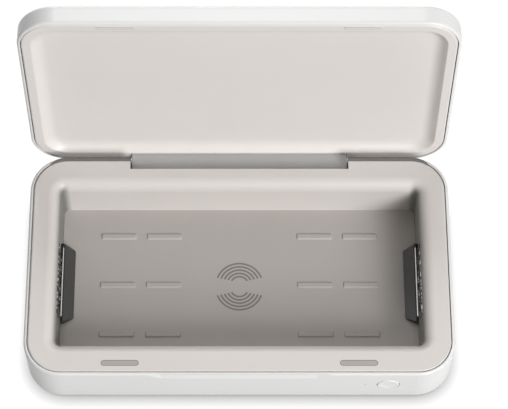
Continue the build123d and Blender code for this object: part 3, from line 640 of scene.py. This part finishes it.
bar_mesh = bmesh.new()
bar_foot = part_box("charging_floor")[1][2] - 0.0005 - bar_sunk
for bar_x in bar_columns:
    for bar_y in bar_rows:
        loops = []
        for height, end_in, side_in in ((0.0, 0.0, 0.0), (bar_height, bar_end_flank, bar_flank)):
            loop = []
            for corner_x, corner_y, first in ((1, 1, 0), (-1, 1, 90), (-1, -1, 180), (1, -1, 270)):
                for step in range(bar_corner_steps + 1):
                    turn = radians(first + 90 * step / bar_corner_steps)
                    loop.append(
                        bar_mesh.verts.new(
                            (
                                bar_x
                                + corner_x * (bar_half_length - end_in - bar_corner)
                                + bar_corner * cos(turn),
                                bar_y
                                + corner_y * (bar_half_width - side_in - bar_corner)
                                + bar_corner * sin(turn),
                                bar_foot + height + (bar_sunk if height else 0.0),
                            )
                        )
                    )
            loops.append(loop)
        foot, top = loops
        for place in range(len(foot)):
            after = (place + 1) % len(foot)
            bar_mesh.faces.new((foot[place], foot[after], top[after], top[place]))
        bar_mesh.faces.new(top)
        bar_mesh.faces.new(foot)
bmesh.ops.recalc_face_normals(bar_mesh, faces=bar_mesh.faces)
bar_data = bpy.data.meshes.new("rest_bars")
bar_mesh.to_mesh(bar_data)
bar_data.materials.append(floor_plastic)
rest_bars = bpy.data.objects.new("rest_bars", bar_data)
bpy.context.scene.collection.objects.link(rest_bars)
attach(rest_bars, "base")

# --------------------------------------------------------------------------- charging mark
# Five pairs of arcs are pad-printed in darker grey ink over the middle of the coil, with a
# bare band between the upper and the lower ones.
mark_ink = "#7e7974"
mark_y = -0.0009
arc_lift = 0.00115  # the centre of each set of arcs, from the middle of the mark
arc_radius = 0.0048  # innermost arc
arc_step = 0.00196
arc_width = 0.00095
arc_end_height = 0.0034  # half of the bare band at the innermost arc
arc_end_step = 0.00045
ink_thickness = 0.00003
arc_pieces = 40

mark_mesh = bmesh.new()
floor_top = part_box("charging_floor")[1][2] - 0.0005
for arc in range(5):
    radius = arc_radius + arc * arc_step
    start = asin((arc_end_height + arc * arc_end_step - arc_lift) / radius)
    for flip in (1, -1):
        rings = []
        for piece in range(arc_pieces + 1):
            turn = start + (pi - 2 * start) * piece / arc_pieces
            corners = []
            for spread, lift in ((-0.5, 0), (0.5, 0), (0.5, 1), (-0.5, 1)):
                reach = radius + spread * arc_width
                corners.append(
                    mark_mesh.verts.new(
                        (
                            reach * cos(turn),
                            mark_y + flip * (arc_lift + reach * sin(turn)),
                            floor_top + lift * ink_thickness,
                        )
                    )
                )
            rings.append(corners)
        for near, far in zip(rings, rings[1:]):
            for side in range(4):
                mark_mesh.faces.new(
                    (near[side], near[(side + 1) % 4], far[(side + 1) % 4], far[side])
                )
        mark_mesh.faces.new(rings[0])
        mark_mesh.faces.new(rings[-1])
bmesh.ops.recalc_face_normals(mark_mesh, faces=mark_mesh.faces)
mark_data = bpy.data.meshes.new("charging_mark")
mark_mesh.to_mesh(mark_data)
charging_mark = bpy.data.objects.new("charging_mark", mark_data)
bpy.context.scene.collection.objects.link(charging_mark)

printed_ink = moulded_plastic(
    "pad-printing ink, cured", mark_ink, "#86817c", 0.55, 0.0003, 0.000002, 1.5
)
mark_data.materials.append(printed_ink)
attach(charging_mark, "base")

# --------------------------------------------------------------------------- lamp trays
# The trays that slope up to the windows are black polycarbonate from a polished mould, so
# they mirror the room faintly, with slow waves where the plastic flowed.
tray_black = "#333331"
tray_black_shade = "#2a2a28"

tray_plastic, tree = new_material("black polycarbonate, polished mould")
place = add_node(tree, "ShaderNodeTexCoord").outputs["Object"]
flow = add_node(tree, "ShaderNodeTexNoise", {"Scale": 1 / 0.006, "Detail": 2.0}, {"Vector": place})
flow_colour = add_node(
    tree,
    "ShaderNodeMix",
    {"data_type": "RGBA", 6: to_linear(tray_black), 7: to_linear(tray_black_shade)},
    {0: flow.outputs["Fac"]},
)
flow_bump = add_node(
    tree, "ShaderNodeBump", {"Distance": 0.00006}, {"Height": flow.outputs["Fac"]}
)
tray_shader = add_node(
    tree,
    "ShaderNodeBsdfPrincipled",
    {"IOR": 1.58, "Roughness": 0.2},
    {"Base Color": flow_colour.outputs[2], "Normal": flow_bump.outputs["Normal"]},
)
add_node(tree, "ShaderNodeOutputMaterial", None, {"Surface": tray_shader.outputs["BSDF"]})
dress(tray_plastic, "lamp_tray_left", "lamp_tray_right")

# --------------------------------------------------------------------------- lamp guards
# A thin rod of polished stainless steel crosses each window, and catches the light as one
# fine bright line.
polished_steel, tree = new_material("stainless steel, polished")
place = add_node(tree, "ShaderNodeTexCoord").outputs["Object"]
round_marks = add_node(
    tree, "ShaderNodeMapping", {"Scale": (300.0, 5000.0, 300.0)}, {"Vector": place}
)
polish = add_node(
    tree, "ShaderNodeTexNoise", {"Scale": 1.0, "Detail": 2.0}, {"Vector": round_marks.outputs[0]}
)
polish_gloss = add_node(
    tree,
    "ShaderNodeMapRange",
    {"To Min": 0.1, "To Max": 0.24},
    {"Value": polish.outputs["Fac"]},
)
polished_shader = add_node(
    tree,
    "ShaderNodeBsdfPrincipled",
    {"Base Color": to_linear("#dddddb"), "Metallic": 1.0},
    {"Roughness": polish_gloss.outputs["Result"]},
)
add_node(tree, "ShaderNodeOutputMaterial", None, {"Surface": polished_shader.outputs["BSDF"]})
dress(polished_steel, "lamp_guard_left", "lamp_guard_right")

# --------------------------------------------------------------------------- lamp tubes
# Each tube is clear drawn quartz, with fine streaks along it. Inside,
# at both ends, sit a nickel cap and a wire electrode.
quartz, tree = new_material("quartz, drawn tube")
place = add_node(tree, "ShaderNodeTexCoord").outputs["Object"]
drawn = add_node(
    tree, "ShaderNodeMapping", {"Scale": (1200.0, 40.0, 1200.0)}, {"Vector": place}
)
streaks = add_node(
    tree, "ShaderNodeTexNoise", {"Scale": 1.0, "Detail": 2.0}, {"Vector": drawn.outputs[0]}
)
streak_bump = add_node(
    tree, "ShaderNodeBump", {"Distance": 0.00001}, {"Height": streaks.outputs["Fac"]}
)
quartz_shader = add_node(
    tree,
    "ShaderNodeBsdfPrincipled",
    {
        "Base Color": to_linear("#eef1f2"),
        "IOR": 1.46,
        "Roughness": 0.03,
        "Transmission Weight": 1.0,
    },
    {"Normal": streak_bump.outputs["Normal"]},
)
add_node(tree, "ShaderNodeOutputMaterial", None, {"Surface": quartz_shader.outputs["BSDF"]})
dress(quartz, "lamp_tube_left", "lamp_tube_right")

electrode_profile = (  # radius and distance from the middle of the tube
    (0.0, 0.0165),
    (0.0003, 0.0165),
    (0.0003, 0.0196),
    (0.0009, 0.0199),
    (0.0012, 0.0204),
    (0.0012, 0.0236),
    (0.0, 0.0239),
)
electrode_facets = 24
for end in ("left", "right"):
    low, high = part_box(f"lamp_tube_{end}")
    axis_x = (low[0] + high[0]) / 2
    axis_z = (low[2] + high[2]) / 2
    electrode_mesh = bmesh.new()
    for flip in (1, -1):
        profile = [
            electrode_mesh.verts.new((axis_x + reach, flip * along, axis_z))
            for reach, along in electrode_profile
        ]
        strand = [electrode_mesh.edges.new(pair) for pair in zip(profile, profile[1:])]
        bmesh.ops.spin(
            electrode_mesh,
            geom=profile + strand,
            cent=(axis_x, 0, axis_z),
            axis=(0, 1, 0),
            angle=2 * pi,
            steps=electrode_facets,
        )
    bmesh.ops.remove_doubles(electrode_mesh, verts=electrode_mesh.verts, dist=0.000001)
    bmesh.ops.recalc_face_normals(electrode_mesh, faces=electrode_mesh.faces)
    electrode_data = bpy.data.meshes.new(f"lamp_electrodes_{end}")
    electrode_mesh.to_mesh(electrode_data)
    electrode_data.materials.append(nickel)
    electrodes = bpy.data.objects.new(f"lamp_electrodes_{end}", electrode_data)
    bpy.context.scene.collection.objects.link(electrodes)
    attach(electrodes, "base")

# --------------------------------------------------------------------------- lamp reflectors
# The trough behind each tube is bright anodised aluminium sheet rolled with small dimples, so
# it breaks the light into sparks and dark specks.
dimple_size = 0.0016

reflector_sheet, tree = new_material("aluminium, dimpled and bright anodised")
place = add_node(tree, "ShaderNodeTexCoord").outputs["Object"]
dimples = add_node(
    tree, "ShaderNodeTexVoronoi", {"Scale": 1 / dimple_size}, {"Vector": place}
)
dimple_bump = add_node(
    tree, "ShaderNodeBump", {"Distance": 0.0006}, {"Height": dimples.outputs["Distance"]}
)
reflector_shader = add_node(
    tree,
    "ShaderNodeBsdfPrincipled",
    {"Base Color": to_linear("#c4c5c7"), "Metallic": 1.0, "Roughness": 0.14},
    {"Normal": dimple_bump.outputs["Normal"]},
)
add_node(tree, "ShaderNodeOutputMaterial", None, {"Surface": reflector_shader.outputs["BSDF"]})
dress(reflector_sheet, "lamp_reflector_left", "lamp_reflector_right")

# --------------------------------------------------------------------------- lamp foils
# A strip of crumpled aluminium foil is tucked behind the guard rod at the foot of each window,
# and another is stuck to the wall above it. Dark spots are painted into their colour: painted
# specks of shade in the reflection. Their creases show as a row of sparks and specks.
foil_crease = 0.0011  # length of a crease
foil_jitter = 0.00034
foil_strips = (  # front, back, swell of the creases, and points across, outwards and upwards
    (
        -0.0140,
        0.0212,
        (0.0, 0.00068),
        (
            (0.0979, 0.00882),
            (0.0979, 0.0090),
            (0.09827, 0.00917),
            (0.09863, 0.00933),
            (0.0990, 0.0095),
            (0.0990, 0.00882),
        ),
    ),
    (
        -0.0265,
        0.0140,
        (-0.0003, 0.0),
        (
            (0.0976, 0.0213),
            (0.0972, 0.0214),
            (0.0972, 0.0240),
            (0.0972, 0.0270),
            (0.0974, 0.0298),
            (0.0978, 0.0299),
        ),
    ),
)

foil_sheet, tree = new_material("aluminium foil, crumpled")
place = add_node(tree, "ShaderNodeTexCoord").outputs["Object"]
foil_grain = add_node(
    tree, "ShaderNodeTexNoise", {"Scale": 1 / 0.0007, "Detail": 3.0}, {"Vector": place}
)
foil_gloss = add_node(
    tree,
    "ShaderNodeMapRange",
    {"To Min": 0.08, "To Max": 0.25},
    {"Value": foil_grain.outputs["Fac"]},
)
painted_speck_noise = add_node(
    tree, "ShaderNodeTexNoise", {"Scale": 1 / 0.0016, "Detail": 1.0}, {"Vector": place}
)
painted_speck_edge = add_node(
    tree,
    "ShaderNodeMapRange",
    {"From Min": 0.46, "From Max": 0.6},
    {"Value": painted_speck_noise.outputs["Fac"]},
)
foil_speck_colour = add_node(
    tree,
    "ShaderNodeMix",
    {"data_type": "RGBA", 6: to_linear("#363635"), 7: to_linear("#babbbd")},
    {0: painted_speck_edge.outputs["Result"]},
)
foil_shader = add_node(
    tree,
    "ShaderNodeBsdfPrincipled",
    {"Metallic": 1.0},
    {"Base Color": foil_speck_colour.outputs[2], "Roughness": foil_gloss.outputs["Result"]},
)
add_node(tree, "ShaderNodeOutputMaterial", None, {"Surface": foil_shader.outputs["BSDF"]})

crumple = Random(11)
for side, end in ((-1, "left"), (1, "right")):
    foil_mesh = bmesh.new()
    for foil_front, foil_back, swell, across in foil_strips:
        rows = int((foil_back - foil_front) / foil_crease)
        strips = []
        for row in range(rows + 1):
            y = foil_front + (foil_back - foil_front) * row / rows
            strip = []
            for place, (reach, height) in enumerate(across):
                crease = crumple.random() if 0 < place < 5 else 0.0
                shift = crumple.uniform(-foil_jitter, foil_jitter) if 0 < place < 5 else 0.0
                strip.append(
                    foil_mesh.verts.new(
                        (side * (reach + crease * swell[0]), y + shift, height + crease * swell[1])
                    )
                )
            strips.append(strip)
        for near, far in zip(strips, strips[1:]):
            for place in range(6):
                after = (place + 1) % 6
                if crumple.random() < 0.5:
                    foil_mesh.faces.new((near[place], near[after], far[after]))
                    foil_mesh.faces.new((near[place], far[after], far[place]))
                else:
                    foil_mesh.faces.new((near[place], near[after], far[place]))
                    foil_mesh.faces.new((near[after], far[after], far[place]))
        foil_mesh.faces.new(strips[0])
        foil_mesh.faces.new(strips[-1])
    add_piece(f"lamp_foil_{end}", foil_mesh, foil_sheet, "base")

# --------------------------------------------------------------------------- lamp housings
# The boxes that hold sockets and reflector behind the wall are dark grey ABS, as moulded.
housing_abs = moulded_plastic(
    "dark grey ABS, coarse mould", "#4a4a4b", "#424243", 0.6, 0.0008, 0.000008
)
dress(housing_abs, "lamp_housing_left", "lamp_housing_right")

# --------------------------------------------------------------------------- foot ring
# A flat ring of grey silicone rubber is pressed into the groove underneath: matt, slightly
# dusty, with a soft edge.
foot_rubber = moulded_plastic(
    "silicone rubber, moulded", "#5d5d5c", "#535352", 0.8, 0.0005, 0.000006, 1.41
)
dress(foot_rubber, "foot_ring")

# --------------------------------------------------------------------------- power button
# The cap is the same white ABS from a smoother mould. Its face is dished for the finger, so the
# upper part is shaded and the lower edge bright. The light pipe beside it is milky acrylic.
button_abs = moulded_plastic(
    "white ABS, smooth mould", "#f1f1f0", "#ededec", 0.26, 0.0006, 0.000001
)
cap_profile = (  # radius, and distance behind the foremost edge
    (0.0, 0.0004),
    (0.0018, 0.00037),
    (0.0034, 0.00025),
    (0.0046, 0.0001),
    (0.0051, 0.00002),
    (0.0053, 0.0),
    (0.0055, 0.00004),
    (0.0057, 0.00016),
    (0.0058, 0.00038),
    (0.0058, 0.0019),
    (0.0072, 0.0019),
    (0.0072, 0.0029),
    (0.0025, 0.0029),
)
cap_facets = 72

button_low, button_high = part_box("power_button")
cap_x = (button_low[0] + button_high[0]) / 2
cap_z = (button_low[2] + button_high[2]) / 2
cap_depth = button_high[1] - button_low[1]
cap_mesh = bmesh.new()
profile = [
    cap_mesh.verts.new((cap_x + reach, button_low[1] + behind, cap_z))
    for reach, behind in cap_profile + ((0.0025, cap_depth), (0.0, cap_depth))
]
outline = [cap_mesh.edges.new(pair) for pair in zip(profile, profile[1:])]
bmesh.ops.spin(
    cap_mesh,
    geom=profile + outline,
    cent=(cap_x, 0, cap_z),
    axis=(0, 1, 0),
    angle=2 * pi,
    steps=cap_facets,
)
bmesh.ops.remove_doubles(cap_mesh, verts=cap_mesh.verts, dist=0.000001)
button_cap = add_piece("button_cap", cap_mesh, button_abs, "button", 40)
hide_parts("power_button")

milky_acrylic, tree = new_material("milky acrylic, moulded")
place = add_node(tree, "ShaderNodeTexCoord").outputs["Object"]
haze = add_node(tree, "ShaderNodeTexNoise", {"Scale": 1 / 0.001}, {"Vector": place})
haze_gloss = add_node(
    tree,
    "ShaderNodeMapRange",
    {"To Min": 0.12, "To Max": 0.3},
    {"Value": haze.outputs["Fac"]},
)
acrylic = add_node(
    tree,
    "ShaderNodeBsdfPrincipled",
    {"Base Color": to_linear("#ececec"), "IOR": 1.49, "Transmission Weight": 0.12},
    {"Roughness": haze_gloss.outputs["Result"]},
)
add_node(tree, "ShaderNodeOutputMaterial", None, {"Surface": acrylic.outputs["BSDF"]})
dress(milky_acrylic, "status_light_pipe")

# --------------------------------------------------------------------------- lid
# The cover is the same white ABS as the tray below. Its liner is the warm grey moulding again,
# painted a shade paler than the tub's liner: painted light. The two strips in it that meet the
# rim are a warm grey elastomer, a shade darker than the lid liner.
dress(shell_abs, "lid_shell")
lid_liner_painted_paler = moulded_plastic(
    "warm grey ABS, lid liner painted paler", "#e9e4e0", "#e5e0dc", 0.42, 0.0006, 0.000003
)
dress(lid_liner_painted_paler, "lid_liner")
bumper_plastic = moulded_plastic(
    "warm grey elastomer, moulded", "#e2dcd7", "#dcd6d1", 0.55, 0.0005, 0.000003
)
dress(bumper_plastic, "lid_bumpers")

# --------------------------------------------------------------------------- hinge block
# The long hinge block is neutral grey acetal, which slides well on the pins; it has a waxy,
# even shine and is darker than the liner.
hinge_acetal = moulded_plastic(
    "grey acetal, moulded", "#c0c0c1", "#bbbbbc", 0.38, 0.0006, 0.000003, 1.48
)
dress(hinge_acetal, "hinge_block")

# --------------------------------------------------------------------------- table and backdrop
# The box stands on a plain white table. To the camera, and in mirrors and glass, the table
# and the room are white; close round the box a painted contact shadow darkens the table softly,
# with a fine painted dark line at the foot of the box.
table_half = 3.0

table_mesh = bmesh.new()
bmesh.ops.create_grid(table_mesh, x_segments=1, y_segments=1, size=table_half)
table_data = bpy.data.meshes.new("table")
table_mesh.to_mesh(table_data)
table = bpy.data.objects.new("table", table_data)
bpy.context.scene.collection.objects.link(table)

table_paper, tree = new_material("white paper, matt")
ray = add_node(tree, "ShaderNodeLightPath")
camera_or_mirror = add_node(
    tree,
    "ShaderNodeMath",
    {"operation": "MAXIMUM"},
    {0: ray.outputs["Is Camera Ray"], 1: ray.outputs["Is Glossy Ray"]},
)
seen = add_node(
    tree,
    "ShaderNodeMath",
    {"operation": "MAXIMUM"},
    {0: camera_or_mirror.outputs[0], 1: ray.outputs["Is Transmission Ray"]},
)
closeness = add_node(tree, "ShaderNodeAmbientOcclusion", {"Distance": 0.0085, "samples": 16})
contact_shadow = add_node(
    tree,
    "ShaderNodeMapRange",
    {"From Min": 0.4, "From Max": 0.96, "To Min": 0.52, "To Max": 1.0},
    {"Value": closeness.outputs["AO"]},
)
edge_closeness = add_node(tree, "ShaderNodeAmbientOcclusion", {"Distance": 0.0026, "samples": 16})
edge_shadow_line = add_node(
    tree,
    "ShaderNodeMapRange",
    {"From Min": 0.45, "From Max": 0.9, "To Min": 0.68, "To Max": 1.0},
    {"Value": edge_closeness.outputs["AO"]},
)
shadow = add_node(
    tree,
    "ShaderNodeMath",
    {"operation": "MULTIPLY"},
    {0: contact_shadow.outputs["Result"], 1: edge_shadow_line.outputs["Result"]},
)
glow = add_node(tree, "ShaderNodeEmission", None, {"Strength": shadow.outputs[0]})
paper_dim = add_node(tree, "ShaderNodeBsdfDiffuse", {"Color": to_linear("#404040")})
paper_sum = add_node(
    tree, "ShaderNodeAddShader", None, {0: glow.outputs[0], 1: paper_dim.outputs[0]}
)
paper = add_node(tree, "ShaderNodeBsdfDiffuse", {"Color": to_linear("#8c8c8c")})
paper_mix = add_node(
    tree,
    "ShaderNodeMixShader",
    None,
    {0: seen.outputs[0], 1: paper.outputs[0], 2: paper_sum.outputs[0]},
)
add_node(tree, "ShaderNodeOutputMaterial", None, {"Surface": paper_mix.outputs[0]})
table_data.materials.append(table_paper)

# --------------------------------------------------------------------------- light and camera
# One soft light stands to the right in front of the box, a weaker one above and behind the lid,
# and one low behind it for the cover. The room fills the rest, and the camera looks down on the
# open box from the front.
room_level = 0.2
light_distance = 2.6
light_places = (  # name, power in watts, side, turn from straight in front, height
    ("key", 60.0, 1.2, radians(36), radians(33)),
    ("back_light", 16.0, 0.8, radians(180), radians(50)),
    ("low_back_light", 30.0, 1.2, radians(180), radians(6)),
)

room = bpy.data.worlds.new("room")
bpy.context.scene.world = room
room.use_nodes = True
tree = room.node_tree
tree.nodes.clear()
ray = add_node(tree, "ShaderNodeLightPath")
camera_or_mirror = add_node(
    tree,
    "ShaderNodeMath",
    {"operation": "MAXIMUM"},
    {0: ray.outputs["Is Camera Ray"], 1: ray.outputs["Is Glossy Ray"]},
)
seen = add_node(
    tree,
    "ShaderNodeMath",
    {"operation": "MAXIMUM"},
    {0: camera_or_mirror.outputs[0], 1: ray.outputs["Is Transmission Ray"]},
)
white = add_node(tree, "ShaderNodeBackground", {"Strength": 1.0})
white.inputs["Color"].default_value = (1, 1, 1, 1)
fill = add_node(tree, "ShaderNodeBackground", {"Strength": room_level})
fill.inputs["Color"].default_value = (1, 1, 1, 1)
both = add_node(
    tree,
    "ShaderNodeMixShader",
    None,
    {0: seen.outputs[0], 1: fill.outputs[0], 2: white.outputs[0]},
)
add_node(tree, "ShaderNodeOutputWorld", None, {"Surface": both.outputs[0]})

for name, power, side, turn, height in light_places:
    light_data = bpy.data.lights.new(name, "AREA")
    light_data.energy = power
    light_data.size = side
    light = bpy.data.objects.new(name, light_data)
    light.location = (
        light_distance * cos(height) * sin(turn),
        -light_distance * cos(height) * cos(turn),
        light_distance * sin(height),
    )
    light.rotation_euler = (pi / 2 - height, 0, turn)
    bpy.context.scene.collection.objects.link(light)

camera_data = bpy.data.cameras.new("camera")
camera_data.lens = 148.95
camera_data.sensor_width = 36.0
camera_data.shift_x = 0.02878
camera_data.clip_start = 0.05
camera = bpy.data.objects.new("camera", camera_data)
camera.location = (0, -0.4603, 1.0642)
camera.rotation_euler = (radians(25.69), 0, 0)
bpy.context.scene.collection.objects.link(camera)
bpy.context.scene.camera = camera
bpy.context.scene.view_settings.view_transform = "Standard"
